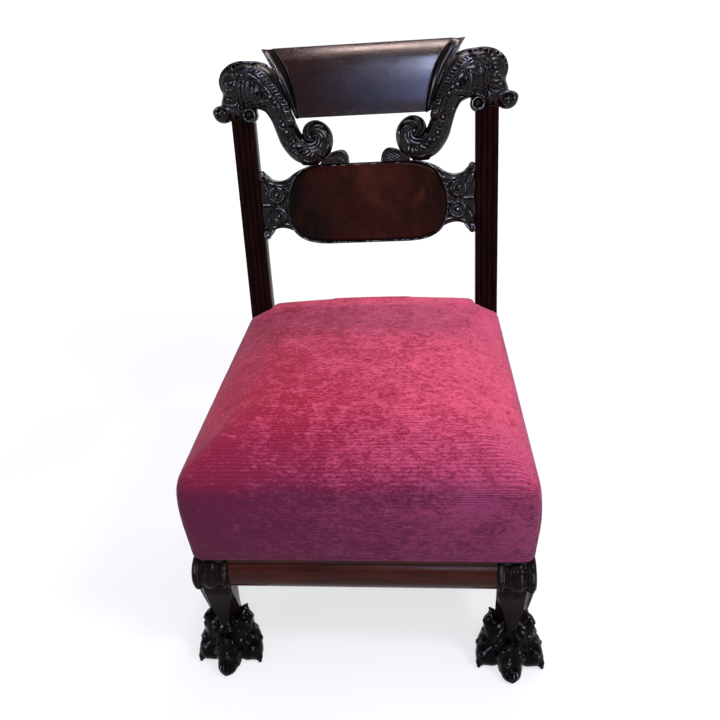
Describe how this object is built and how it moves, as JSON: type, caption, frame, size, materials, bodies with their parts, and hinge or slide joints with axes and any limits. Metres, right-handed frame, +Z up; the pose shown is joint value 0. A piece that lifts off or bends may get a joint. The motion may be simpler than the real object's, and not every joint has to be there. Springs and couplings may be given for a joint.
{
  "type": "slipper chair",
  "caption": "Low upholstered boudoir chair with an overstuffed seat, rolled crest rail between carved dolphins, shaped cross rail and lion-paw front legs.",
  "frame": {"origin": "centre of the chair's plan box on the floor", "axes": "+Z up; the chair faces -Y; +X to the right of a person looking at its front"},
  "size_m": [0.548, 0.6457, 0.8366],
  "materials": {
    "mahogany": "french-polished dark mahogany, glossy",
    "crest_mahogany": "french-polished dark mahogany veneer, glossy",
    "carved_mahogany": "carved near-black mahogany, glossy, darker in the cuts",
    "panel_veneer": "crotch mahogany veneer, polished",
    "red_mahogany": "polished red-brown mahogany",
    "plain_wood": "unfinished",
    "steel": "plain",
    "jute": "woven jute",
    "twine": "laid twine",
    "stuffing": "hair and wadding",
    "seat_velvet": "ribbed chenille velvet with a mottled pile",
    "cambric": "thin black cotton"
  },
  "bodies": {
    "root": {"left_back_post": "mahogany", "right_back_post": "mahogany", "crest_rail": "crest_mahogany", "left_crest_end": "carved_mahogany", "right_crest_end": "carved_mahogany", "left_dolphin": "carved_mahogany", "right_dolphin": "carved_mahogany", "cross_rail": "carved_mahogany", "cross_rail_panel": "panel_veneer", "left_leaf_scroll": "carved_mahogany", "right_leaf_scroll": "carved_mahogany", "front_rail": "mahogany", "front_rail_moulding": "red_mahogany", "left_side_rail": "mahogany", "right_side_rail": "mahogany", "rear_rail": "mahogany", "left_front_leg": "carved_mahogany", "right_front_leg": "carved_mahogany", "front_left_corner_block": "plain_wood", "front_right_corner_block": "plain_wood", "rear_left_corner_block": "plain_wood", "rear_right_corner_block": "plain_wood", "corner_block_screws": "steel", "rail_dowels": "plain_wood", "crest_dowels": "plain_wood", "dolphin_dowels": "plain_wood", "webbing_front_to_back": "jute", "webbing_side_to_side": "jute", "seat_springs": "steel", "spring_twine": "twine", "seat_burlap": "jute", "seat_stuffing": "stuffing", "seat_cover": "seat_velvet", "dust_cover": "cambric", "dust_cover_tacks": "steel"}
  },
  "joints": []
}
